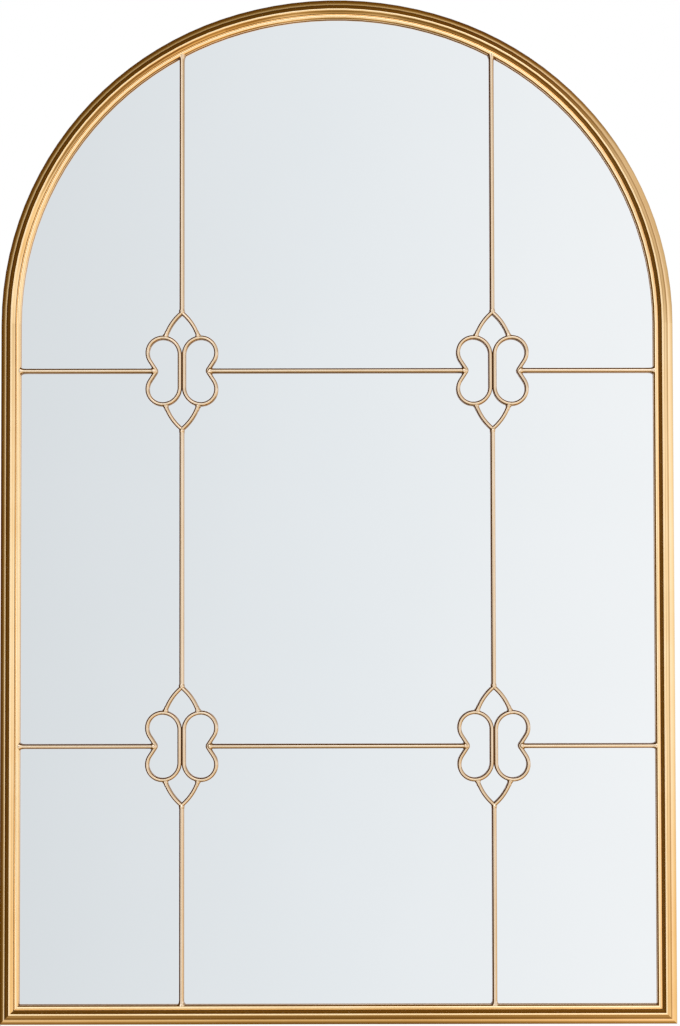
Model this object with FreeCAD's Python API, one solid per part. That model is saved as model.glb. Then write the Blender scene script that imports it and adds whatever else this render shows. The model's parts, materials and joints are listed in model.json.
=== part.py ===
"""Arched wall mirror: a welded steel frame with a wire grille, glazed from behind and hung on two rings.

Millimetres. X runs to the viewer's right, Z up, and the wall is the plane y = 0 behind the mirror, which
faces -Y. The origin lies on the wall, midway between the two hooks that carry the raised hanger rings.
"""
import FreeCAD, Part
import math
import os

# Overall outline: straight legs under an arch struck from three centres
frame_width = 610.0
frame_height = 929.0
haunch_tightening = 10.2         # how much shorter the haunch radius is than half the width
crown_half_angle = 18.8          # degrees of the flatter crown arc on each side of the middle
hang_height = 640.0              # from the bottom edge up to the wall hooks

# Moulding: a reeded channel formed from sheet steel, open at the back
moulding_width = 13.2
sheet = 1.2
face_rise = 7.6                  # from the outer edge of the reeds forward to the top of the ridge
ridge_stand = 4.4                # from the border rod's axis forward to the top of the ridge
rear_flange = 7.0                # width of the outer wall's turned-in edge
reed_swells = (0.45, 0.5)
cove_hollow = 0.12
cove_foot_share = 0.8            # of the border rod's radius, from its axis forward to the cove's foot
reed_across_shares = (0.356, 0.605)
reed_rise_shares = (0.342, 0.809)
ridge_across_shares = (0.735, 0.836)
ridge_rise_share = 0.918
inside_across_shares = (0.42, 0.62, 0.70, 0.77)
inside_rise_shares = (0.20, 0.58, 0.58, 0.48)
inside_lip_share = 0.5           # of the sheet, how far the inside stays behind the outer edge
inside_seat_share = 1.4          # of the sheet, how far the inside stays behind the border rod's axis

# Grille of rods
border_rod = 4.8
bar_rod = 4.4
bar_spacing = 281.8              # between the two vertical bars
lower_row_height = 249.7         # from the bottom edge to the lower horizontal bars
row_spacing = 339.7              # between the two rows of horizontal bars
weld_bite = 0.5                  # how far a bar's end reaches past the surface that it is welded to

# Rosettes: two loops of wire back to back, with a pointed cap above and below
scroll_wire = 3.8
loop_gap = 0.1                   # between the two straight sides
lobe_inner_radius = 15.4         # wire axis, from the straight side to the top of the lobe
lobe_outer_radius = 13.8         # wire axis, from the top of the lobe round its outside
lobe_clearance = 2.7             # half the space between the axes of the two lobes' outer rounds
notch_depth = 7.65               # wire axis, from the outermost point of the lobes in to the notch
notch_inside_radius = 0.3
cap_half_span = 15.1             # wire axis, from the middle to each foot
cap_rise = 22.7                  # wire axis, from the top of the lobes to the tip
cap_arc_radius = 46.0

# Glazing
tape_thickness = 0.6
tape_width = 3.2
glass_thickness = 4.0
board_thickness = 5.0
edge_clearance = 0.7             # round the glass and the board

# Wall pads on the rear flange
pad_thickness = 1.5
pad_width = 5.0
pad_length = 20.0
pad_corner_distance = 50.0       # from the outer edge of a leg to the middle of a bottom pad
pad_spring_drop = 30.0           # from the start of the arch down to the middle of an upper pad

# Clips that hold the board, and their screws
recess_depth = 7.0               # from the moulding's rear edge forward to the board
clip_sheet = 1.0
clip_width = 12.0
clip_reach = 9.0                 # over the board
clip_rear_gap = 0.5              # between the clip and the moulding's rear edge
clip_screw_back = 3.1            # from the moulding's rear edge to the screw's axis
clip_screw_length = 5.0
leg_clip_heights = (180.0, 470.0)
arch_clip_angles = (135.0, 90.0, 45.0)   # degrees from the right, round the arch
bottom_clip_offset = 140.0       # from the middle
screw_shank = 2.9
screw_fit = 0.05                 # radial, between a shank and its hole
screw_head = 5.0
screw_head_height = 1.8
screw_edge_share = 0.35          # of the head's height, its straight edge
screw_tip_share = 0.5            # of the shank's diameter, the length of its tip
screw_tip_flat_share = 0.3       # of the shank's diameter, the width of its end
recess_length_share = 0.62       # of the head's diameter, the cross recess
recess_width_share = 0.16
recess_depth_share = 0.45        # of the head's height

# Strap hangers, their rings and screws
hanger_spacing = 380.0
strap_width = 11.0
strap_sheet = 1.0
strap_length = 37.0              # from the ring's axis to the end of the strap
strap_screw_distances = (19.0, 31.0)
strap_screw_length = 6.2
ring_wire = 2.5
ring_fit = 0.08                  # radial, between the ring's bar and the strap's eye
ring_side_clearance = 0.5
ring_bend_radius = 2.0
ring_leg = 5.0                   # from the ring's bar to the middle of its bow
ring_rest_clearance = 0.3        # between the hanging ring and the strap

overrun = 1.0                    # how far cutting tools stand past what they cut

# Worked out: levels forward of the wall
rim_level = pad_thickness
board_back = rim_level + recess_depth
glass_back = board_back + board_thickness
tape_back = glass_back + glass_thickness
rod_level = tape_back + tape_thickness + border_rod / 2
ridge_level = rod_level + ridge_stand
lip_level = ridge_level - face_rise

# Worked out: the outline, measured from the wall hooks
half_width = frame_width / 2
bottom_z = -hang_height
crown_z = bottom_z + frame_height
crown_angle = math.radians(crown_half_angle)
haunch_radius = half_width - haunch_tightening
haunch_x = haunch_tightening
crown_radius = haunch_radius + haunch_x / math.sin(crown_angle)
crown_drop = (crown_radius - haunch_radius) * math.cos(crown_angle)
spring_z = crown_z - crown_radius + crown_drop
crown_centre_z = spring_z - crown_drop
rod_inset = moulding_width + border_rod / 2
glass_inset = moulding_width + edge_clearance

# Worked out: the grille
bar_x = bar_spacing / 2
row_heights = {"lower": bottom_z + lower_row_height,
               "upper": bottom_z + lower_row_height + row_spacing}
column_places = {"left": -bar_x, "right": bar_x}
wire_radius = scroll_wire / 2
side_x = wire_radius + loop_gap / 2
lobe_x = side_x + lobe_inner_radius
lobe_z = lobe_outer_radius + lobe_clearance
lobe_top = lobe_z + lobe_outer_radius
side_z = lobe_top - lobe_inner_radius
notch_x = lobe_x + lobe_outer_radius - notch_depth
notch_radius = wire_radius + notch_inside_radius
cap_tip = lobe_top + cap_rise

# Worked out: the hangers
hanger_x = hanger_spacing / 2
eye_radius = ring_wire / 2 + ring_fit
eye_outer = eye_radius + strap_sheet
ring_half_width = strap_width / 2 + ring_side_clearance + ring_bend_radius
ring_reach = ring_leg + ring_half_width
pivot_z = -(ring_reach - ring_wire / 2)
pivot_level = board_back - eye_outer
ring_rest_offset = 2 * strap_sheet + ring_rest_clearance + ring_wire / 2 - eye_outer
ring_rest_tilt = math.degrees(math.asin(ring_rest_offset / ring_reach))

vector = FreeCAD.Vector
X_AXIS = vector(1, 0, 0)
Y_AXIS = vector(0, 1, 0)
Z_AXIS = vector(0, 0, 1)


def point(x, level, z):
    """A point at a distance forward of the wall."""
    return vector(x, -level, z)


def line(start, end):
    return Part.LineSegment(start, end).toShape()


def arc(start, middle, end):
    return Part.Arc(start, middle, end).toShape()


def bulge(start, end, rise):
    """Middle of an arc that stands off its chord by rise, to the left as seen from +Z."""
    chord = end - start
    aside = Z_AXIS.cross(chord)
    aside.normalize()
    return (start + end) * 0.5 + aside * rise


def face_of(edges):
    return Part.Face(Part.Wire(edges))


def joined(shapes):
    """One solid from shapes that share faces."""
    return shapes[0].fuse(shapes[1:]).removeSplitter()


def mirrored(shape):
    return shape.mirror(vector(0, 0, 0), X_AXIS)


def moved(shape, x, z):
    copy = shape.copy()
    copy.translate(vector(x, 0, z))
    return copy


# Outline of the object
def outline_face(inset):
    """The arched outline drawn in by inset, as a face on the wall."""
    side = half_width - inset
    low = bottom_z + inset
    haunch = haunch_radius - inset
    crown = crown_radius - inset
    join_x = crown * math.sin(crown_angle)
    join_z = crown_centre_z + crown * math.cos(crown_angle)
    middle_angle = (math.pi / 2 - crown_angle) / 2
    haunch_middle_x = haunch_x + haunch * math.cos(middle_angle)
    haunch_middle_z = spring_z + haunch * math.sin(middle_angle)
    left_foot = point(-side, 0, low)
    right_foot = point(side, 0, low)
    left_spring = point(-side, 0, spring_z)
    right_spring = point(side, 0, spring_z)
    left_join = point(-join_x, 0, join_z)
    right_join = point(join_x, 0, join_z)
    return face_of([
        line(left_foot, left_spring),
        arc(left_spring, point(-haunch_middle_x, 0, haunch_middle_z), left_join),
        arc(left_join, point(0, 0, crown_centre_z + crown), right_join),
        arc(right_join, point(haunch_middle_x, 0, haunch_middle_z), right_spring),
        line(right_spring, right_foot),
        line(right_foot, left_foot),
    ])


def sheet_of(inset, back, thickness):
    """An arched sheet from the level back forward."""
    face = outline_face(inset)
    face.translate(point(0, back, 0))
    return face.extrude(point(0, thickness, 0))


def arch_place(angle, inset):
    """The point of the arch whose normal stands at angle from the right, drawn in by inset."""
    turn = math.radians(angle)
    if abs(math.pi / 2 - turn) < crown_angle:
        radius = crown_radius - inset
        return radius * math.cos(turn), crown_centre_z + radius * math.sin(turn)
    radius = haunch_radius - inset
    side = math.copysign(haunch_x, math.cos(turn))
    return side + radius * math.cos(turn), spring_z + radius * math.sin(turn)


def arch_height(x, inset):
    """Height of the arch drawn in by inset, above a place across the width."""
    crown = crown_radius - inset
    if abs(x) < crown * math.sin(crown_angle):
        return crown_centre_z + math.sqrt(crown ** 2 - x ** 2)
    haunch = haunch_radius - inset
    return spring_z + math.sqrt(haunch ** 2 - (abs(x) - haunch_x) ** 2)


def placed(shape, x, z, turn):
    """A copy of a shape made for a left-hand leg, turned in the wall's plane and moved to x, z."""
    copy = shape.copy()
    copy.rotate(vector(0, 0, 0), Y_AXIS, turn)
    copy.translate(vector(x, 0, z))
    return copy


# Lengths that run round the frame
def arch_run(section):
    """A section drawn at the foot of the left leg, run up the legs and round the arch."""
    leg = vector(0, 0, spring_z - bottom_z)
    haunch_turn = 90.0 - crown_half_angle
    turns = [(vector(-haunch_x, 0, spring_z), haunch_turn),
             (vector(0, 0, crown_centre_z), 2 * crown_half_angle),
             (vector(haunch_x, 0, spring_z), haunch_turn)]
    lengths = [section.extrude(leg)]
    face = section.copy()
    face.translate(leg)
    for centre, turn in turns:
        lengths.append(face.revolve(centre, Y_AXIS, turn))
        face = face.copy()
        face.rotate(centre, Y_AXIS, turn)
    lengths.append(face.extrude(-leg))
    return joined(lengths)


def bottom_run(section):
    """The same section run along the bottom edge."""
    face = section.copy()
    face.translate(vector(half_width, 0, -bottom_z))
    face = placed(face, -half_width, bottom_z, -90)
    return face.extrude(vector(frame_width, 0, 0))


def corner_wedge(under):
    """The half of the left bottom corner that lies under, or over, its mitre."""
    reach = moulding_width + border_rod + overrun
    start = point(-half_width, -overrun, bottom_z)
    top = point(-half_width + reach, -overrun, bottom_z + reach)
    side = point(-half_width + reach, -overrun, bottom_z)
    if not under:
        side = point(-half_width, -overrun, bottom_z + reach)
    wedge = face_of([line(start, top), line(top, side), line(side, start)])
    return wedge.extrude(point(0, ridge_level + 2 * overrun, 0))


def mitred(section):
    """The arch and the bottom length of one section, cut to meet at the two bottom corners."""
    low = corner_wedge(True)
    high = corner_wedge(False)
    arch = arch_run(section).cut([low, mirrored(low)])
    bottom = bottom_run(section).cut([high, mirrored(high)])
    return arch.Solids[0], bottom.Solids[0]


# Moulding
def at_leg(across, level):
    """A point of the section at the foot of the left leg, across from the outer edge."""
    return point(-half_width + across, level, bottom_z)


def moulding_section():
    """The moulding: outer wall, two reeds, ridge, cove and inner wall round an open channel."""
    reeds = [at_leg(0, lip_level)]
    for across, rise in zip(reed_across_shares, reed_rise_shares):
        reeds.append(at_leg(across * moulding_width, lip_level + rise * face_rise))
    ridge_top, ridge_end = [share * moulding_width for share in ridge_across_shares]
    top = at_leg(ridge_top, ridge_level)
    shoulder = at_leg(ridge_end, lip_level + ridge_rise_share * face_rise)
    seat = at_leg(moulding_width, rod_level + cove_foot_share * border_rod / 2)
    edges = [line(at_leg(0, rim_level), reeds[0])]
    for start, end, swell in zip(reeds, reeds[1:], reed_swells):
        edges.append(arc(start, bulge(start, end, -swell), end))
    edges.append(arc(reeds[-1], top, shoulder))
    edges.append(arc(shoulder, bulge(shoulder, seat, cove_hollow), seat))
    edges.append(line(seat, at_leg(moulding_width, rim_level)))
    edges.append(line(at_leg(moulding_width, rim_level), at_leg(0, rim_level)))
    return face_of(edges).cut(channel_section()).Faces[0]


def channel_section():
    """The inside of the moulding, open at the back between the flange and the inner wall."""
    inner = moulding_width - sheet
    corners = [at_leg(sheet, rim_level + sheet),
               at_leg(sheet, lip_level - inside_lip_share * sheet)]
    for across, rise in zip(inside_across_shares, inside_rise_shares):
        corners.append(at_leg(across * moulding_width, lip_level + rise * face_rise))
    corners += [at_leg(inner, rod_level - inside_seat_share * sheet),
                at_leg(inner, rim_level - overrun),
                at_leg(rear_flange, rim_level - overrun),
                at_leg(rear_flange, rim_level + sheet)]
    return face_of([line(a, b) for a, b in zip(corners, corners[1:] + corners[:1])])


def border_section():
    centre = at_leg(rod_inset, rod_level)
    return face_of([Part.Circle(centre, Z_AXIS, border_rod / 2).toShape()])


# Rods and wires of the grille, all with their axes at one level
def straight_rod(start, end, diameter):
    run = vector(end[0] - start[0], 0, end[1] - start[1])
    return Part.makeCylinder(diameter / 2, run.Length, point(start[0], rod_level, start[1]), run)


def round_rod(centre, radius, start, sweep, diameter):
    """A rod bent round a centre, from an angle in degrees, anticlockwise seen from the front."""
    turn = math.radians(start)
    x = centre[0] + radius * math.cos(turn)
    z = centre[1] + radius * math.sin(turn)
    along = vector(-math.sin(turn), 0, math.cos(turn))
    disc = face_of([Part.Circle(point(x, rod_level, z), along, diameter / 2).toShape()])
    return disc.revolve(point(centre[0], rod_level, centre[1]), -Y_AXIS, sweep)


def rosette_loop():
    """The right-hand loop of a rosette at the origin, with its notch towards +X."""
    notch_centre = notch_x + notch_radius
    away = vector(notch_centre - lobe_x, 0, -lobe_z)
    lean = math.acos((lobe_outer_radius + notch_radius) / away.Length)
    tangent = math.atan2(away.z, away.x) + lean
    lobe_end = (lobe_x + lobe_outer_radius * math.cos(tangent),
                lobe_z + lobe_outer_radius * math.sin(tangent))
    notch_start = (notch_centre - notch_radius * math.cos(tangent),
                   -notch_radius * math.sin(tangent))
    degrees = math.degrees(tangent)
    upper = [
        round_rod((lobe_x, side_z), lobe_inner_radius, 90, 90, scroll_wire),
        round_rod((lobe_x, lobe_z), lobe_outer_radius, degrees, 90 - degrees, scroll_wire),
        straight_rod(notch_start, lobe_end, scroll_wire),
    ]
    lower = [piece.mirror(vector(0, 0, 0), Z_AXIS) for piece in upper]
    side = straight_rod((side_x, -side_z), (side_x, side_z), scroll_wire)
    notch = round_rod((notch_centre, 0), notch_radius, 180 + degrees, -2 * degrees, scroll_wire)
    return joined([side] + upper + [notch] + lower)


def rosette_cap(loops):
    """The pointed cap above a rosette at the origin, its feet shaped to the loops."""
    foot = vector(cap_half_span, 0, lobe_top)
    tip = vector(0, 0, cap_tip)
    chord = tip - foot
    aside = chord.cross(Y_AXIS)
    aside.normalize()
    back = math.sqrt(cap_arc_radius ** 2 - (chord.Length / 2) ** 2)
    centre = (foot + tip) * 0.5 + aside * back
    if (centre - tip).x > 0:
        centre = (foot + tip) * 0.5 - aside * back
    start = math.degrees(math.atan2(foot.z - centre.z, foot.x - centre.x))
    end = math.degrees(math.atan2(tip.z - centre.z, tip.x - centre.x))
    half = round_rod((centre.x, centre.z), cap_arc_radius, start, end - start, scroll_wire)
    knuckle = Part.makeSphere(wire_radius, point(tip.x, rod_level, tip.z))
    whole = half.fuse([mirrored(half), knuckle]).removeSplitter()
    return largest(whole.cut(loops))


def largest(shape):
    return max(shape.Solids, key=lambda solid: solid.Volume)


def bar(start, end, neighbours):
    """A bar whose ends are shaped to the wires that they are welded to."""
    return largest(straight_rod(start, end, bar_rod).cut(neighbours))


# Glazing
def glazing_tape():
    outer = sheet_of(glass_inset, tape_back, tape_thickness)
    inner = sheet_of(glass_inset + tape_width, tape_back - overrun, tape_thickness + 2 * overrun)
    return outer.cut(inner)


def backing_board(screw_shanks):
    return sheet_of(glass_inset, board_back, board_thickness).cut(screw_shanks)


# Fasteners
def screw(length):
    """A pan-head screw with a cross recess, its shank along -X from the origin."""
    shank = screw_shank / 2
    head = screw_head / 2
    edge = screw_edge_share * screw_head_height
    tip_end = screw_tip_flat_share * screw_shank / 2
    tip_start = -length + screw_tip_share * screw_shank
    corners = [vector(-length, 0, 0), vector(-length, 0, tip_end), vector(tip_start, 0, shank),
               vector(0, 0, shank), vector(0, 0, head), vector(edge, 0, head)]
    crown = vector(screw_head_height, 0, 0)
    dome = screw_head_height - edge
    sphere = (head ** 2 + dome ** 2) / (2 * dome)
    turn = math.asin(head / sphere) / 2
    centre = screw_head_height - sphere
    middle = vector(centre + sphere * math.cos(turn), 0, sphere * math.sin(turn))
    edges = [line(a, b) for a, b in zip(corners, corners[1:])]
    edges += [arc(corners[-1], middle, crown), line(crown, corners[0])]
    body = face_of(edges).revolve(vector(0, 0, 0), X_AXIS, 360)
    slot_depth = recess_depth_share * screw_head_height
    slot_length = recess_length_share * screw_head
    slot_width = recess_width_share * screw_head
    bottom = screw_head_height - slot_depth
    slots = [Part.makeBox(slot_depth + overrun, a, b, vector(bottom, -a / 2, -b / 2))
             for a, b in ((slot_length, slot_width), (slot_width, slot_length))]
    return body.cut(slots)


def shank_hole(length):
    """The clearance hole of a screw that stands as screw() makes it."""
    return Part.makeCylinder(screw_shank / 2 + screw_fit, length + overrun,
                             vector(overrun, 0, 0), -X_AXIS)


def clip_stations():
    """Places on the inner wall, each with its turn from the left-hand leg."""
    side = half_width - moulding_width
    places = []
    for height in leg_clip_heights:
        places += [(-side, bottom_z + height, 0), (side, bottom_z + height, 180)]
    wall_radius = haunch_radius - moulding_width
    sagitta = wall_radius - math.sqrt(wall_radius ** 2 - (clip_width / 2) ** 2)
    for angle in arch_clip_angles:
        x, z = arch_place(angle, moulding_width + sagitta)
        places.append((x, z, 180 - angle))
    for x in (-bottom_clip_offset, bottom_clip_offset):
        places.append((x, bottom_z + moulding_width, -90))
    return places


def retaining_clip():
    """An angle of sheet: one leg on the moulding's inner wall, the other over the board."""
    back = rim_level + clip_rear_gap
    foot = Part.makeBox(clip_sheet, board_back - back, clip_width,
                        point(0, board_back, -clip_width / 2))
    tongue = Part.makeBox(clip_reach, clip_sheet, clip_width,
                          point(0, board_back, -clip_width / 2))
    return joined([foot, tongue]).cut(at_clip(shank_hole(clip_screw_length)))


def at_clip(shape):
    """A screw or its hole set in the foot of the clip."""
    copy = shape.copy()
    copy.translate(point(clip_sheet, rim_level + clip_screw_back, 0))
    return copy


# Hangers
def hanger_strap():
    """A strip rolled round the ring's bar and doubled back flat on the board."""
    left = -strap_width / 2
    leaf = Part.makeBox(strap_width, 2 * strap_sheet, strap_length,
                        point(left, board_back, -strap_length))
    eye = Part.makeCylinder(eye_outer, strap_width, point(left, pivot_level, 0), X_AXIS)
    bore = Part.makeCylinder(eye_radius, strap_width + 2 * overrun,
                             point(left - overrun, pivot_level, 0), X_AXIS)
    holes = [at_strap(shank_hole(strap_screw_length), distance)
             for distance in strap_screw_distances]
    return leaf.fuse(eye).removeSplitter().cut([bore] + holes)


def at_strap(shape, distance):
    """A screw or its hole turned to stand on the strap, below the ring's axis."""
    copy = shape.copy()
    copy.rotate(vector(0, 0, 0), Z_AXIS, 90)
    copy.translate(point(0, board_back - 2 * strap_sheet, -distance))
    return copy


def hanger_ring():
    """A wire ring, hanging from its bar and leaning on the strap."""
    straight = ring_half_width - ring_bend_radius
    bend = ring_bend_radius
    bar_piece = straight_rod((-straight, 0), (straight, 0), ring_wire)
    corner = round_rod((straight, -bend), bend, 0, 90, ring_wire)
    leg = straight_rod((ring_half_width, -bend), (ring_half_width, -ring_leg), ring_wire)
    bow = round_rod((0, -ring_leg), ring_half_width, 180, 180, ring_wire)
    ring = joined([bar_piece, corner, mirrored(corner), leg, mirrored(leg), bow])
    ring.translate(point(0, -rod_level, 0))
    ring.rotate(vector(0, 0, 0), X_AXIS, ring_rest_tilt)
    ring.translate(point(0, pivot_level, 0))
    return ring


# Wall pads
def wall_pads():
    across = (rear_flange - pad_width) / 2
    pad = Part.makeBox(pad_width, pad_thickness, pad_length,
                       point(across, pad_thickness, -pad_length / 2))
    along = half_width - pad_corner_distance
    height = spring_z - pad_spring_drop
    return [placed(pad, -half_width, height, 0), placed(pad, half_width, height, 180),
            placed(pad, -along, bottom_z, -90), placed(pad, along, bottom_z, -90)]


# Assembly
def grille(border_rods):
    """Rosettes and bars, each bar cut to the pieces at its ends."""
    nodes = {}
    right = rosette_loop()
    loops = {"left": mirrored(right), "right": right}
    top = rosette_cap(list(loops.values()))
    caps = {"top": top, "bottom": top.mirror(vector(0, 0, 0), Z_AXIS)}
    for row, z in row_heights.items():
        for column, x in column_places.items():
            for name, shape in loops.items():
                nodes[f"rosette_{row}_{column}_loop_{name}"] = moved(shape, x, z)
            for name, shape in caps.items():
                nodes[f"rosette_{row}_{column}_cap_{name}"] = moved(shape, x, z)
    neighbours = list(border_rods) + list(nodes.values())
    notch = notch_x + wire_radius - weld_bite
    tip = cap_tip + wire_radius - weld_bite
    edge = half_width - rod_inset
    for row, z in row_heights.items():
        spans = {"left": (-edge, -bar_x - notch), "centre": (-bar_x + notch, bar_x - notch),
                 "right": (bar_x + notch, edge)}
        for name, (start, end) in spans.items():
            nodes[f"bar_{row}_{name}"] = bar((start, z), (end, z), neighbours)
    low = row_heights["lower"]
    high = row_heights["upper"]
    for column, x in column_places.items():
        spans = {"bottom": (bottom_z + rod_inset, low - tip), "middle": (low + tip, high - tip),
                 "top": (high + tip, arch_height(x, rod_inset))}
        for name, (start, end) in spans.items():
            nodes[f"bar_{column}_{name}"] = bar((x, start), (x, end), neighbours)
    return nodes


def hangers():
    strap = hanger_strap()
    ring = hanger_ring()
    nodes = {}
    for side, x in (("left", -hanger_x), ("right", hanger_x)):
        nodes[f"hanger_strap_{side}"] = moved(strap, x, pivot_z)
        nodes[f"hanger_ring_{side}"] = moved(ring, x, pivot_z)
    return nodes


def strap_places(shape):
    """Copies of a screw or its hole at every hole of the two straps."""
    return [moved(at_strap(shape, distance), x, pivot_z)
            for x in (-hanger_x, hanger_x) for distance in strap_screw_distances]


clip_hole = at_clip(shank_hole(clip_screw_length))
clip_screw = at_clip(screw(clip_screw_length))
clip_holes = [placed(clip_hole, *station) for station in clip_stations()]
arch, rail = mitred(moulding_section())
border_rods = mitred(border_section())

parts = {
    "frame_arch": arch.cut(clip_holes),
    "frame_bottom_rail": rail.cut(clip_holes),
    "border_rod_arch": border_rods[0],
    "border_rod_bottom": border_rods[1],
    "mirror_glass": sheet_of(glass_inset, glass_back, glass_thickness),
    "glazing_tape": glazing_tape(),
    "backing_board": backing_board(strap_places(shank_hole(strap_screw_length))),
    "retaining_clips": Part.makeCompound(
        [placed(retaining_clip(), *station) for station in clip_stations()]),
    "clip_screws": Part.makeCompound([placed(clip_screw, *station) for station in clip_stations()]),
    "hanger_screws": Part.makeCompound(strap_places(screw(strap_screw_length))),
    "wall_pads": Part.makeCompound(wall_pads()),
}
parts.update(grille(border_rods))
parts.update(hangers())

os.makedirs("parts", exist_ok=True)
for name, shape in parts.items():
    shape.exportStep(f"parts/{name}.step")
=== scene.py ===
import json
import math

import bpy
from mathutils import Matrix, Vector


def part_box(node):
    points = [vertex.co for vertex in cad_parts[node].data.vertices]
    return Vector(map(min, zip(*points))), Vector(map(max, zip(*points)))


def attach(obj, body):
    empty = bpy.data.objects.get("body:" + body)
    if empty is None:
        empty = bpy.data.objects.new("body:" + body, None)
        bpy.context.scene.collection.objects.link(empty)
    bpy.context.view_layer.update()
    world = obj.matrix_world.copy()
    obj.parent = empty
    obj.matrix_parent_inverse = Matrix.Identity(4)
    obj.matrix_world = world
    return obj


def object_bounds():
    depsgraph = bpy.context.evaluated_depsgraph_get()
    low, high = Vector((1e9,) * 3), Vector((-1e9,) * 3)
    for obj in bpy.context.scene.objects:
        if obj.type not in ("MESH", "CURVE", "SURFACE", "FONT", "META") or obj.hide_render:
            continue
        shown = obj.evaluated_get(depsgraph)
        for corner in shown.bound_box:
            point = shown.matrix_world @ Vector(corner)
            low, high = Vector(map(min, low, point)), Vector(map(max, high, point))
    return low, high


# Looks of an arched wall mirror: gilt frame and grille, silvered glass, backing board, hangers and pads.
# Metres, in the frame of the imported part: X to the viewer's right, Y into the wall, Z up.

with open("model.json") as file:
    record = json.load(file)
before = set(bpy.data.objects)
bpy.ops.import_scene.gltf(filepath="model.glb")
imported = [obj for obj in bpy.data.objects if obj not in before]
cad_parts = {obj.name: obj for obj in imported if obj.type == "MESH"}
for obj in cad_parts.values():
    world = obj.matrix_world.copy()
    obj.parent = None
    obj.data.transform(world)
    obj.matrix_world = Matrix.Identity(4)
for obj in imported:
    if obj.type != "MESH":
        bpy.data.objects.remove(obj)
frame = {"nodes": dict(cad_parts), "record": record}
cad_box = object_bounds()

# The camera's place and aim, for an image whose long side is its height
image_height = 1026
focal_pixels = 2630.7
camera_place = Vector((0.0002, -2.4, -0.2759))
camera_yaw = math.radians(0.053)
camera_pitch = math.radians(2.310)
camera_roll = math.radians(-0.100)
sensor_width = 36.0

# Directions
right = Vector((1, 0, 0))
up = Vector((0, 0, 1))
toward_viewer = Vector((0, -1, 0))

# Rods and wires of the grille
border_radius = 0.0024
bar_radius = 0.0022
wire_radius = 0.0019
cap_half_span = 0.0151
cap_lean = math.radians(16.4)
arch_slope = 0.529

# Welds that spread a rod's end; start, length and fade count in radii of the rod it meets
border_growth = 0.0017
cap_growth = 0.0009
weld_proud = 0.00008
flare_start = 0.45
flare_length = 2.6
flare_fade = 0.5
flare_core = 0.985
flare_lump = 0.035
flare_waves = 3
flare_phase = 7
flare_steps = 14

# Beads of weld metal, as half their length, width and depth
notch_bead = (0.0032, 0.0034, 0.0025)
tip_bead = (0.0034, 0.0026, 0.00235)
notch_back = 0.0006
bead_fullness = 0.8
bead_lump = 0.06
bead_waves = 2
bead_twist = 5
bead_phase = 40
bead_steps = 12
ring_points = 24

# Softened edges, and the lacquer on the border rods
plate_pieces = ["retaining_clips", "hanger_strap_left", "hanger_strap_right"]
plate_bevel = 0.00015
slab_pieces = ["backing_board", "mirror_glass", "wall_pads"]
slab_bevel = 0.0004
bevel_segments = 2
bevel_angle = math.radians(40)
coated_rods = ["border_rod_arch", "border_rod_bottom"]
coat_thickness = 0.0002

# Plain colours
white = (1.0, 1.0, 1.0)
black = (0.0, 0.0, 0.0)

# Gilt lacquer: tones, painted shade in creases, and painted shade from lit faces, 0, to faces turned away,
# 1
gold_tones = [(0.89, 0.612, 0.297), (0.92, 0.648, 0.328), (0.93, 0.672, 0.358)]
gold_painted_crease_shade = (0.82, 0.74, 0.62)
moulding_painted_side_shade = [
    (0.18, white), (0.3, (0.7, 0.63, 0.53)), (0.42, (0.5, 0.41, 0.29)), (0.55, (0.4, 0.31, 0.2))]
rod_painted_side_shade = [(0.3, white), (0.42, (0.8, 0.74, 0.66)), (0.55, (0.55, 0.46, 0.36))]
wire_tones = [(0.73, 0.53, 0.32), (0.75, 0.563, 0.357), (0.76, 0.582, 0.385)]
wire_painted_crease_shade = (0.5, 0.4, 0.28)
wire_painted_side_shade = [
    (0.05, white), (0.1, (0.78, 0.72, 0.66)), (0.2, (0.56, 0.48, 0.4)), (0.35, (0.48, 0.38, 0.28))]
# The wires' painted shade is turned so that their left flanks come out darker
wire_side_shade_turn = math.radians(20)

# Reaches of the studio's bright field, as parts of a unit direction, and how many of them its ramps cover
left_reach = 0.67
right_reach = 2.4
top_reach = 0.66
low_reach = 0.9
field_span = 2.0

# The studio's corners, the grey that lights matt surfaces, and a ray depth above that of a first reflection
corner_start = 0.15
corner_middle = 0.5
room_grey = 0.5
first_bounce_limit = 2.5

# The floor below the hanging mirror
floor_drop = 1.0
floor_radius = 2.4
floor_steps = 96

# Soft lamps: name, place, side and power in watts
soft_lamps = [
    ("key", (1.6, -2.2, 1.2), 1.6, 30),
    ("fill", (-1.8, -1.6, 0.6), 1.6, 12),
    ("back", (-0.8, 2.4, 1.0), 1.8, 30),
]


# Node trees
def set_inputs(tree, node, inputs):
    """Joins a node's inputs to other nodes' outputs, or sets them to fixed values."""
    for name, value in inputs.items():
        socket = node.inputs[name]
        if isinstance(value, bpy.types.NodeSocket):
            tree.links.new(value, socket)
        else:
            socket.default_value = value


def add_node(tree, kind, inputs=None, **settings):
    """A new node with its settings and inputs."""
    made = tree.nodes.new(kind)
    for name, value in settings.items():
        setattr(made, name, value)
    set_inputs(tree, made, inputs or {})
    return made


def ramp(tree, factor, stops):
    """A colour ramp through (position, colour) stops."""
    made = add_node(tree, "ShaderNodeValToRGB", {"Fac": factor})
    band = made.color_ramp
    band.interpolation = "LINEAR"
    while len(band.elements) < len(stops):
        band.elements.new(1.0)
    for element, (position, colour) in zip(band.elements, stops):
        element.position = position
        element.color = (*colour, 1.0)
    return made.outputs["Color"]


def grey(level):
    """A neutral colour."""
    return (level, level, level)


def noise(tree, place, size, detail=3.0, roughness=0.5):
    """Noise whose blotches are about size metres across."""
    inputs = {"Vector": place, "Scale": 1.0 / size, "Detail": detail, "Roughness": roughness}
    return add_node(tree, "ShaderNodeTexNoise", inputs).outputs["Fac"]


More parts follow.
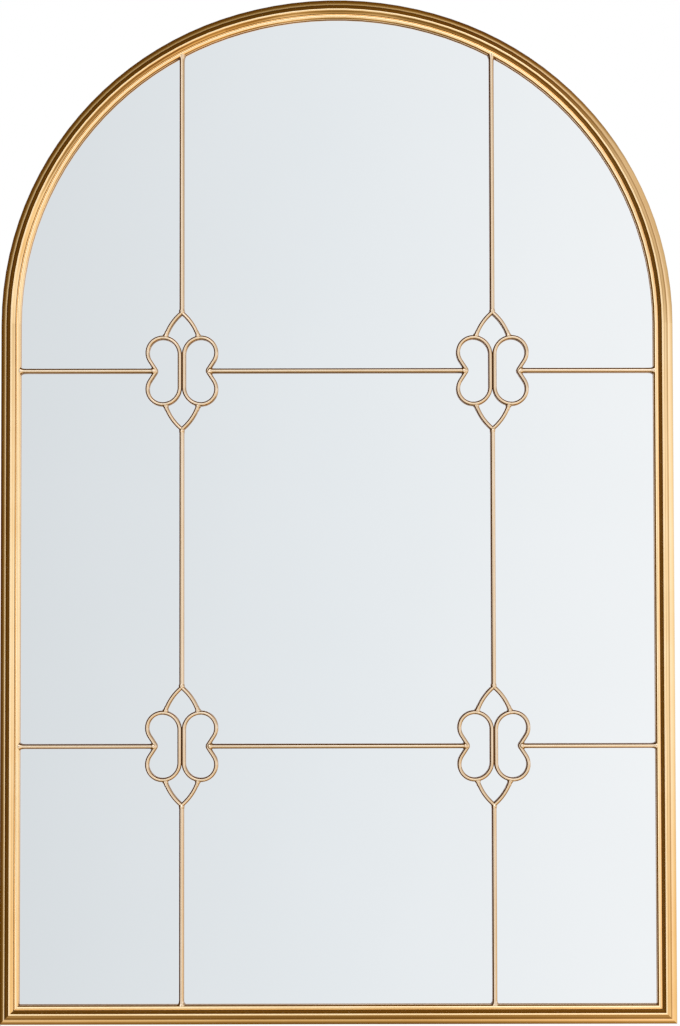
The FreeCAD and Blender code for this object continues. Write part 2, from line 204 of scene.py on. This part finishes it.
def math_node(tree, operation, first, second=0.0):
    """The result of a sum, product or the like of two values."""
    return add_node(tree, "ShaderNodeMath", {0: first, 1: second}, operation=operation).outputs["Value"]


def map_range(tree, value, low, high):
    """A value from 0 to 1 spread between low and high."""
    inputs = {"Value": value, "To Min": low, "To Max": high}
    return add_node(tree, "ShaderNodeMapRange", inputs).outputs["Result"]


def halved(tree, value):
    """A value from -1 to 1 brought to 0 to 1."""
    return add_node(tree, "ShaderNodeMapRange", {"Value": value, "From Min": -1.0}).outputs["Result"]


def mixed(tree, factor, first, second, way="MIX"):
    """Two colours put together in one way of the mix node."""
    inputs = {"Factor": factor, "A": first, "B": second}
    return add_node(tree, "ShaderNodeMix", inputs, data_type="RGBA", blend_type=way).outputs["Result"]


def multiplied(tree, product, *colours):
    """The product of several colours."""
    for colour in colours:
        product = mixed(tree, 1.0, product, colour, "MULTIPLY")
    return product


def bump(tree, height, depth):
    """A normal that follows a height from 0 to 1, depth metres deep."""
    inputs = {"Height": height, "Distance": depth, "Strength": 1.0}
    return add_node(tree, "ShaderNodeBump", inputs).outputs["Normal"]


def stretched(tree, place, scale):
    """Coordinates scaled along the axes, for streaks."""
    return add_node(tree, "ShaderNodeMapping", {"Vector": place, "Scale": scale}).outputs["Vector"]


def new_material(name):
    """A material with a plain Principled shader, and its object coordinates in metres."""
    material = bpy.data.materials.new(name)
    material.use_nodes = True
    tree = material.node_tree
    tree.nodes.clear()
    shader = add_node(tree, "ShaderNodeBsdfPrincipled")
    add_node(tree, "ShaderNodeOutputMaterial", {"Surface": shader.outputs["BSDF"]})
    place = add_node(tree, "ShaderNodeTexCoord").outputs["Object"]
    return material, tree, shader, place


# Materials
def gilt_material(name, tones, crease_shade_tone, side_shade_stops, side_shade_turn=0.0):
    """Satin gold lacquer with painted shade, browner in creases and on sides and behind, as if lit from
    the front or from a turn to the viewer's right of it."""
    material, tree, shader, place = new_material(name)
    broad = noise(tree, place, size=0.045)
    fine = noise(tree, place, size=0.0014, detail=2.0)
    colour = ramp(tree, broad, [(0.3, tones[0]), (0.5, tones[1]), (0.7, tones[2])])
    # Painted shade: creases, found by ambient occlusion, are tinted darker and browner
    open_air = add_node(tree, "ShaderNodeAmbientOcclusion", {"Distance": 0.0035}, samples=8)
    painted_crease_shade = ramp(tree, open_air.outputs["AO"], [(0.25, crease_shade_tone), (0.65, white)])
    # Painted shade: faces turned from the front toward the sides and back get darker, browner tones
    normal = add_node(tree, "ShaderNodeNewGeometry").outputs["Normal"]
    shaded_way = (-math.sin(side_shade_turn), math.cos(side_shade_turn), 0.0)
    turned = add_node(tree, "ShaderNodeVectorMath", {0: normal, 1: shaded_way}, operation="DOT_PRODUCT")
    painted_side_shade = ramp(tree, halved(tree, turned.outputs["Value"]), side_shade_stops)
    set_inputs(tree, shader, {
        "Base Color": multiplied(tree, colour, multiplied(tree, painted_crease_shade, painted_side_shade)),
        "Roughness": map_range(tree, fine, low=0.1, high=0.15),
        "Normal": bump(tree, fine, depth=0.0000015),
        "Metallic": 1.0,
        "Coat Weight": 0.4,
        "Coat Roughness": 0.12,
    })
    return material


def mirror_material():
    """Silvered glass, seen as one clean reflecting face, with a faint change of tone."""
    material, tree, shader, place = new_material("silvered_glass")
    cloud = noise(tree, place, size=0.12)
    silver = ramp(tree, cloud, [(0.3, (0.965, 0.972, 0.975)), (0.7, (0.975, 0.98, 0.983))])
    set_inputs(tree, shader, {"Base Color": silver, "Metallic": 1.0, "Roughness": 0.0})
    return material


def tape_material():
    """Black closed-cell foam."""
    material, tree, shader, place = new_material("foam_tape")
    cells = noise(tree, place, size=0.0006, detail=2.0)
    set_inputs(tree, shader, {
        "Base Color": ramp(tree, cells, [(0.3, grey(0.02)), (0.7, grey(0.05))]),
        "Normal": bump(tree, cells, depth=0.0001),
        "Roughness": 0.85,
    })
    return material


def board_material():
    """Brown hardboard, smooth, with matted fibres."""
    material, tree, shader, place = new_material("hardboard")
    cloud = noise(tree, place, size=0.03)
    fibres = noise(tree, stretched(tree, place, (1.0, 1.0, 0.25)), size=0.0016, detail=4.0, roughness=0.65)
    tone = math_node(tree, "ADD", math_node(tree, "MULTIPLY", cloud, 0.25),
                     math_node(tree, "MULTIPLY", fibres, 0.75))
    browns = [(0.32, (0.17, 0.1, 0.055)), (0.5, (0.25, 0.155, 0.085)), (0.68, (0.34, 0.22, 0.13))]
    set_inputs(tree, shader, {
        "Base Color": ramp(tree, tone, browns),
        "Roughness": map_range(tree, fibres, low=0.45, high=0.7),
        "Normal": bump(tree, fibres, depth=0.00008),
    })
    return material


def zinc_material():
    """Zinc-plated steel with faint drawing marks."""
    material, tree, shader, place = new_material("zinc_plate")
    marks = noise(tree, stretched(tree, place, (1.0, 1.0, 0.08)), size=0.0005)
    cloud = noise(tree, place, size=0.006)
    set_inputs(tree, shader, {
        "Base Color": ramp(tree, cloud, [(0.3, (0.55, 0.55, 0.53)), (0.7, (0.68, 0.68, 0.66))]),
        "Roughness": map_range(tree, marks, low=0.22, high=0.42),
        "Normal": bump(tree, marks, depth=0.00002),
        "Metallic": 1.0,
    })
    return material


def rubber_material():
    """Matt black rubber."""
    material, tree, shader, place = new_material("pad_rubber")
    grain = noise(tree, place, size=0.0009)
    set_inputs(tree, shader, {
        "Base Color": ramp(tree, grain, [(0.3, grey(0.025)), (0.7, grey(0.05))]),
        "Roughness": map_range(tree, grain, low=0.65, high=0.9),
        "Normal": bump(tree, grain, depth=0.00006),
    })
    return material


def dress_nodes(materials, wire, rod):
    """Gives every carried-over piece the material of its slot, and the grille its own tones of gilt."""
    for part in frame["record"]["subparts"]:
        name = part["node"]
        material = materials[part["material_slot"]]
        if name.startswith(("bar_", "rosette_")):
            material = wire
        elif name.startswith("border_rod_"):
            material = rod
        for slot in frame["nodes"][name].material_slots:
            slot.material = material


# Edges and welds
def soften_edges(names, width):
    """Rounds the hard edges of carried-over pieces."""
    for name in names:
        edges = frame["nodes"][name].modifiers.new("softened", "BEVEL")
        edges.width = width
        edges.segments = bevel_segments
        edges.limit_method = "ANGLE"
        edges.angle_limit = bevel_angle


def coat_rods():
    """A coat of lacquer on the border rods, a hair thick, which closes the seam beside the cove."""
    for name in coated_rods:
        coat = frame["nodes"][name].modifiers.new("lacquer", "DISPLACE")
        coat.strength = coat_thickness
        coat.mid_level = 0.0


def skin(rings, corners, faces):
    """Adds a closed skin over rings of points to the lists of corners and faces."""
    first = len(corners)
    count = len(rings[0])
    for ring in rings:
        corners.extend(ring)
    for level in range(len(rings) - 1):
        low = first + level * count
        for step in range(count):
            after = (step + 1) % count
            faces.append((low + step, low + after, low + count + after, low + count + step))
    last = first + (len(rings) - 1) * count
    faces.append(tuple(reversed(range(first, first + count))))
    faces.append(tuple(range(last, last + count)))


def ring_angles():
    """The angles of a ring's points."""
    return [2 * math.pi * turn / ring_points for turn in range(ring_points)]


def flare_rings(root, along, radius, joined_radius, growth, skew=0.0):
    """Rings of a weld that spreads a rod's end, with its axis along, onto the rod it meets at root."""
    across = along.cross(toward_viewer)
    core = radius * flare_core
    rings = []
    for step in range(flare_steps + 1):
        distance = joined_radius * (flare_start + flare_length * step / flare_steps)
        spread = math.exp(-max(distance - joined_radius, 0.0) / (flare_fade * joined_radius))
        wide = core + growth * spread
        deep = core + (joined_radius - radius + weld_proud) * spread
        ring = []
        for angle in ring_angles():
            lump = 1.0 + flare_lump * spread * math.sin(flare_waves * angle + flare_phase * root.x / radius)
            aside = wide * math.cos(angle)
            ahead = distance + skew * aside * spread
            outward = deep * math.sin(angle)
            ring.append(root + along * ahead + across * (aside * lump) + toward_viewer * (outward * lump))
        rings.append(ring)
    return rings


def bead_rings(centre, along, length, width, depth):
    """Rings of a bead of weld metal, a little lumpy, with its length along."""
    across = along.cross(toward_viewer)
    rings = []
    for step in range(1, bead_steps):
        tilt = math.pi * step / bead_steps
        middle = centre - along * (length * math.cos(tilt))
        ring = []
        for angle in ring_angles():
            wave = math.sin(bead_waves * angle + bead_twist * tilt + bead_phase * centre.z / length)
            girth = math.sin(tilt) ** bead_fullness * (1.0 + bead_lump * wave)
            aside = width * girth * math.cos(angle)
            outward = depth * girth * math.sin(angle)
            ring.append(middle + across * aside + toward_viewer * outward)
        rings.append(ring)
    return rings


def weld_object(name, welds, material):
    """One object of all the welds of a kind, fixed to the frame and gilt like it."""
    corners = []
    faces = []
    for rings in welds:
        skin(rings, corners, faces)
    mesh = bpy.data.meshes.new(name)
    mesh.from_pydata(corners, [], faces)
    mesh.shade_smooth()
    mesh.materials.append(material)
    made = bpy.data.objects.new(name, mesh)
    bpy.context.scene.collection.objects.link(made)
    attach(made, "frame")


def bar_end(name, along):
    """The point on a bar's axis, at the end from which along leads to the other end."""
    low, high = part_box(name)
    middle = (low + high) / 2
    half = (high - low) / 2
    return middle - Vector([part * size for part, size in zip(along, half)])


def border_welds():
    """Spread ends of the bars on the border rod."""
    low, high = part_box("border_rod_arch")
    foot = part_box("border_rod_bottom")[0].z + border_radius
    sizes = (bar_radius, border_radius, border_growth)
    sides = (("left", right, low.x + border_radius), ("right", -right, high.x - border_radius))
    welds = []
    for row in ("lower", "upper"):
        for side, along, edge in sides:
            root = bar_end(f"bar_{row}_{side}", along)
            root.x = edge
            welds.append(flare_rings(root, along, *sizes))
    for side, slope in (("left", arch_slope), ("right", -arch_slope)):
        root = bar_end(f"bar_{side}_bottom", up)
        root.z = foot
        welds.append(flare_rings(root, up, *sizes))
        root = bar_end(f"bar_{side}_top", -up) + up * (border_radius / 2)
        welds.append(flare_rings(root, -up, *sizes, slope))
    return welds


def cap_welds():
    """Spread feet of the rosettes' caps on the lobes."""
    welds = []
    for row in ("lower", "upper"):
        for side in ("left", "right"):
            low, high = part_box(f"rosette_{row}_{side}_loop_left")
            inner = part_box(f"rosette_{row}_{side}_loop_right")[0].x
            middle = (high.x + inner) / 2
            depth = (low.y + high.y) / 2
            for level, lift in ((high.z - wire_radius, 1), (low.z + wire_radius, -1)):
                for hand in (-1, 1):
                    root = Vector((middle + hand * cap_half_span, depth, level))
                    along = Vector((-hand * math.sin(cap_lean), 0, lift * math.cos(cap_lean)))
                    welds.append(flare_rings(root, along, wire_radius, wire_radius, cap_growth))
    return welds


def bead_welds():
    """Beads where the bars meet the rosettes' notches and the tips of the caps."""
    welds = []
    for row in ("lower", "upper"):
        for place, along in (("left", -right), ("centre", right), ("centre", -right), ("right", right)):
            end = bar_end(f"bar_{row}_{place}", along)
            welds.append(bead_rings(end + along * notch_back, along, *notch_bead))
    for side in ("left", "right"):
        for place, along in (("bottom", -up), ("middle", up), ("middle", -up), ("top", up)):
            end = bar_end(f"bar_{side}_{place}", along)
            welds.append(bead_rings(end, along, *tip_bead))
    return welds


# Stage
def field_colour(tree, aside, upward):
    """The bright field ahead and to the right, ringed by lamps except on the right and below, and what is
    dim and warm round it."""
    sideways = math_node(tree, "MAXIMUM", math_node(tree, "DIVIDE", aside, -left_reach),
                         math_node(tree, "DIVIDE", aside, right_reach))
    lifted = math_node(tree, "MAXIMUM", math_node(tree, "DIVIDE", upward, top_reach),
                       math_node(tree, "DIVIDE", upward, -low_reach))
    squares = math_node(tree, "ADD", math_node(tree, "MULTIPLY", sideways, sideways),
                        math_node(tree, "MULTIPLY", lifted, lifted))
    spread = math_node(tree, "DIVIDE", math_node(tree, "SQRT", squares), field_span)
    field = ramp(tree, spread, [
        (0.0, white), (0.44, white), (0.5, (0.68, 0.606, 0.462)), (0.55, (0.46, 0.35, 0.18)),
        (0.6, (0.32, 0.21, 0.08)), (0.675, (0.21, 0.118, 0.026)), (0.75, (0.17, 0.085, 0.012)),
        (1.0, (0.14, 0.068, 0.009))])
    glow = ramp(tree, spread, [
        (0.19, black), (0.23, (1.6, 1.75, 2.3)), (0.39, (1.6, 1.75, 2.3)), (0.45, grey(0.1)), (0.5, black)])
    to_left = ramp(tree, halved(tree, aside), [(0.575, white), (0.725, black)])
    not_below = ramp(tree, halved(tree, upward), [(0.22, black), (0.31, white)])
    lamps = multiplied(tree, glow, multiplied(tree, to_left, not_below))
    return mixed(tree, 1.0, field, lamps, "ADD")


def side_colour(tree, aside):
    """The studio's change of tone from its dim left to its bright right."""
    return ramp(tree, halved(tree, aside), [
        (0.0, (0.69, 0.7, 0.71)), (0.439, (0.705, 0.74, 0.765)), (0.5, (0.8, 0.835, 0.86)),
        (0.561, (0.9, 0.92, 0.935)), (0.62, white), (0.68, (1.2, 1.24, 1.42)), (0.9, (1.2, 1.24, 1.42)),
        (1.0, grey(1.1))])


def studio_colour(tree, aside, along, upward):
    """The studio that satin metal reflects: the field with a warm back, floor and right-hand corners, and
    two pale patches on the floor."""
    depth = ramp(tree, halved(tree, along), [
        (0.4, white), (0.5, grey(0.9)), (0.65, (0.66, 0.62, 0.54)), (0.8, (0.45, 0.4, 0.3)),
        (1.0, (0.4, 0.34, 0.24))])
    below = ramp(tree, halved(tree, upward), [
        (0.02, (0.6, 0.47, 0.26)), (0.125, (0.8, 0.6, 0.34)), (0.17, (0.96, 0.8, 0.56)),
        (0.25, (1.0, 0.92, 0.78)), (0.34, white)])
    beside = math_node(tree, "DIVIDE", math_node(tree, "SUBTRACT", aside, corner_start), 1.0 - corner_start)
    aslant = math_node(tree, "MULTIPLY", math_node(tree, "MAXIMUM", beside, 0.0), upward)
    corners = ramp(tree, math_node(tree, "ADD", aslant, corner_middle), [
        (0.06, (0.28, 0.2, 0.09)), (0.155, (0.36, 0.26, 0.13)), (0.245, (0.94, 0.85, 0.68)),
        (0.32, (0.96, 0.85, 0.64)), (0.39, (0.86, 0.7, 0.46)), (0.47, white), (0.55, white),
        (0.67, (0.62, 0.55, 0.44)), (0.93, (0.66, 0.58, 0.46))])
    lit = multiplied(tree, field_colour(tree, aside, upward), side_colour(tree, aside))
    studio = multiplied(tree, lit, multiplied(tree, depth, below, corners))
    patches = ramp(tree, math_node(tree, "ABSOLUTE", aside), [
        (0.03, black), (0.075, (0.35, 0.4, 0.6)), (0.125, (0.85, 1.0, 1.8)), (0.15, (0.7, 0.85, 1.5)),
        (0.2, black)])
    on_floor = ramp(tree, halved(tree, upward), [(0.13, white), (0.2, black)])
    return mixed(tree, 1.0, studio, multiplied(tree, studio, multiplied(tree, patches, on_floor)), "ADD")


def wall_colour(tree, aside, upward):
    """The studio's pale walls, which the silvered glass reflects."""
    right_wall = ramp(tree, halved(tree, aside), [
        (0.6, white), (0.68, (0.75, 0.735, 0.65)), (0.9, (0.73, 0.715, 0.63)), (1.0, grey(0.75))])
    height = ramp(tree, halved(tree, upward), [
        (0.0, grey(0.84)), (0.36, white), (0.64, white), (1.0, grey(0.9))])
    return multiplied(tree, side_colour(tree, aside), multiplied(tree, right_wall, height))


def stage_world():
    """White for the camera and grey for matt surfaces. Satin metal reflects the studio, and silvered glass
    its walls."""
    world = bpy.data.worlds.new("studio")
    world.use_nodes = True
    bpy.context.scene.world = world
    tree = world.node_tree
    tree.nodes.clear()
    direction = add_node(tree, "ShaderNodeTexCoord").outputs["Generated"]
    parts = add_node(tree, "ShaderNodeSeparateXYZ", {"Vector": direction}).outputs
    ray = add_node(tree, "ShaderNodeLightPath").outputs
    first_bounce = math_node(tree, "LESS_THAN", ray["Ray Depth"], first_bounce_limit)
    mirrored = math_node(tree, "MULTIPLY", ray["Is Singular Ray"], first_bounce)
    reflected = math_node(tree, "MAXIMUM", ray["Is Glossy Ray"], ray["Is Transmission Ray"])
    studio = studio_colour(tree, parts["X"], parts["Y"], parts["Z"])
    walls = wall_colour(tree, parts["X"], parts["Z"])
    seen = mixed(tree, reflected, (*grey(room_grey), 1.0), mixed(tree, mirrored, studio, walls))
    shown = mixed(tree, ray["Is Camera Ray"], seen, (*white, 1.0))
    background = add_node(tree, "ShaderNodeBackground", {"Color": shown})
    add_node(tree, "ShaderNodeOutputWorld", {"Surface": background.outputs["Background"]})
    world.cycles.sampling_method = "NONE"


def aimed(place, target):
    """A transform at place whose -Z points at target."""
    turn = (target - place).to_track_quat("-Z", "Y")
    return Matrix.Translation(place) @ turn.to_matrix().to_4x4()


def soft_light(name, place, size, power):
    """A large soft lamp aimed at the middle of the mirror, which reflections don't show."""
    data = bpy.data.lights.new(name, "AREA")
    data.shape = "SQUARE"
    data.size = size
    data.energy = power
    lamp = bpy.data.objects.new(name, data)
    bpy.context.scene.collection.objects.link(lamp)
    middle = (cad_box[0] + cad_box[1]) / 2
    lamp.matrix_world = aimed(Vector(place), middle)
    lamp.visible_camera = False
    lamp.visible_glossy = False


def stage_floor():
    """A pale round floor whose rim fades into the white background."""
    height = cad_box[0].z - floor_drop
    angles = [2 * math.pi * step / floor_steps for step in range(floor_steps)]
    rim = [(floor_radius * math.cos(angle), floor_radius * math.sin(angle), height) for angle in angles]
    mesh = bpy.data.meshes.new("floor")
    mesh.from_pydata(rim, [], [list(range(floor_steps))])
    floor = bpy.data.objects.new("floor", mesh)
    bpy.context.scene.collection.objects.link(floor)
    floor.visible_glossy = False
    material, tree, shader, place = new_material("pale_floor")
    grain = noise(tree, place, size=0.05)
    distance = add_node(tree, "ShaderNodeVectorMath", {0: place}, operation="LENGTH").outputs["Value"]
    share = math_node(tree, "DIVIDE", distance, math.hypot(floor_radius, height))
    set_inputs(tree, shader, {
        "Base Color": ramp(tree, grain, [(0.3, grey(0.84)), (0.7, grey(0.86))]),
        "Alpha": ramp(tree, share, [(0.78, white), (0.99, black)]),
        "Roughness": 0.8,
    })
    mesh.materials.append(material)


def stage_camera():
    """The camera at its place, turned by its yaw, pitch and roll."""
    forward = Vector((math.sin(camera_yaw) * math.cos(camera_pitch),
                      math.cos(camera_yaw) * math.cos(camera_pitch), math.sin(camera_pitch)))
    level_right = forward.cross(up).normalized()
    level_up = level_right.cross(forward)
    rolled_right = math.cos(camera_roll) * level_right + math.sin(camera_roll) * level_up
    rolled_up = math.cos(camera_roll) * level_up - math.sin(camera_roll) * level_right
    data = bpy.data.cameras.new("camera")
    data.sensor_width = sensor_width
    data.lens = focal_pixels / image_height * sensor_width
    camera = bpy.data.objects.new("camera", data)
    bpy.context.scene.collection.objects.link(camera)
    turn = Matrix((rolled_right, rolled_up, -forward)).transposed().to_4x4()
    camera.matrix_world = Matrix.Translation(camera_place) @ turn
    bpy.context.scene.camera = camera


# The gilt of the wires, the border rods and the moulding differ in tone and in their painted shade
gilt_wire = gilt_material("gilt_wire", wire_tones, wire_painted_crease_shade, wire_painted_side_shade, wire_side_shade_turn)
gilt_rod = gilt_material("gilt_rod", gold_tones, gold_painted_crease_shade, rod_painted_side_shade)
slot_materials = {
    "gilt": gilt_material("gilt_lacquer", gold_tones, gold_painted_crease_shade, moulding_painted_side_shade),
    "mirror": mirror_material(),
    "tape": tape_material(),
    "board": board_material(),
    "steel": zinc_material(),
    "pads": rubber_material(),
}
dress_nodes(slot_materials, gilt_wire, gilt_rod)
soften_edges(plate_pieces, plate_bevel)
soften_edges(slab_pieces, slab_bevel)
coat_rods()
weld_object("border_welds", border_welds(), gilt_wire)
weld_object("cap_welds", cap_welds(), gilt_wire)
weld_object("bead_welds", bead_welds(), gilt_wire)
stage_world()
stage_floor()
for lamp in soft_lamps:
    soft_light(*lamp)
stage_camera()
bpy.context.scene.view_settings.view_transform = "Standard"
